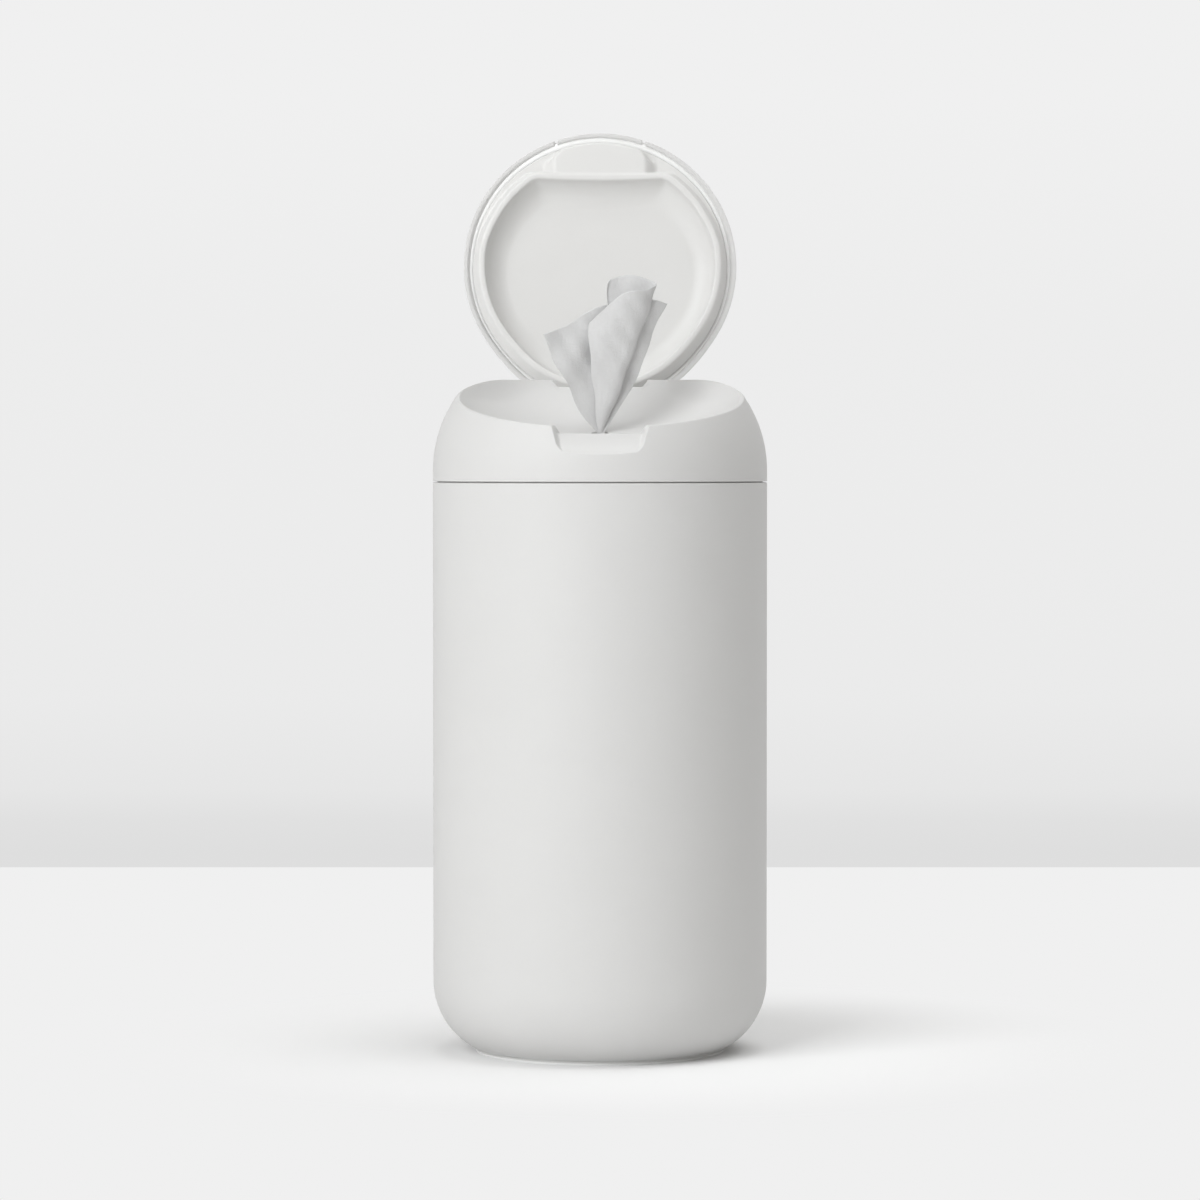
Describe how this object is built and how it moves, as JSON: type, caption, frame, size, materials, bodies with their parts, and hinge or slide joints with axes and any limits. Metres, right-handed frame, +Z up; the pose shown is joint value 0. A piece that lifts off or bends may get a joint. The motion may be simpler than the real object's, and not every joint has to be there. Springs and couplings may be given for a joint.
{
  "type": "countertop wipes dispenser",
  "caption": "Free-standing round canister for a centre-pull roll of wipes, with a lift-off domed top, a tilted dispensing bowl and a hinged lid that stands open behind a pulled-up wipe.",
  "frame": {"origin": "centre of the foot's flat face, on the canister's axis at the counter", "axes": "+Z up along the axis, -Y towards the finger scoop, +X to the right seen from the front; at rest the lid stands open as in the picture"},
  "size_m": [0.12, 0.1511, 0.3347],
  "materials": {
    "shell_plastic": "fine matte, warm off-white",
    "inner_plastic": "smooth matte off-white",
    "ballast_steel": "plain sheet steel",
    "fastener_steel": "zinc-plated",
    "soft_silicone": "soft translucent white silicone",
    "nonwoven": "white non-woven with a fine grain"
  },
  "bodies": {
    "canister": {"body_shell": "shell_plastic", "base_weight": "ballast_steel", "base_cover": "inner_plastic", "base_screws": "fastener_steel", "foot_pad": "soft_silicone", "wipes_roll": "nonwoven"},
    "top": {"top_shell": "shell_plastic", "orifice_gasket": "soft_silicone", "gasket_retainer": "inner_plastic", "retainer_screws": "fastener_steel", "spigot_ring": "inner_plastic", "spigot_screws": "fastener_steel", "body_seal": "soft_silicone", "hinge_cradle": "inner_plastic", "cradle_screws": "fastener_steel", "hinge_pin": "fastener_steel", "next_wipe": "nonwoven", "wipe": "nonwoven"},
    "lid": {"lid_shell": "shell_plastic", "lid_liner": "inner_plastic", "lid_seal": "soft_silicone"}
  },
  "joints": [
    {"name": "top_lift", "type": "slide", "parent": "canister", "child": "top", "axis": [0, 0, 1], "range_m": [0, 0.09]},
    {"name": "lid_hinge", "type": "hinge", "parent": "top", "child": "lid", "pos_m": [0, 0.04752, 0.2328], "axis": [1, 0, 0], "range_deg": [0, 109], "deforming": ["wipe"]}
  ]
}
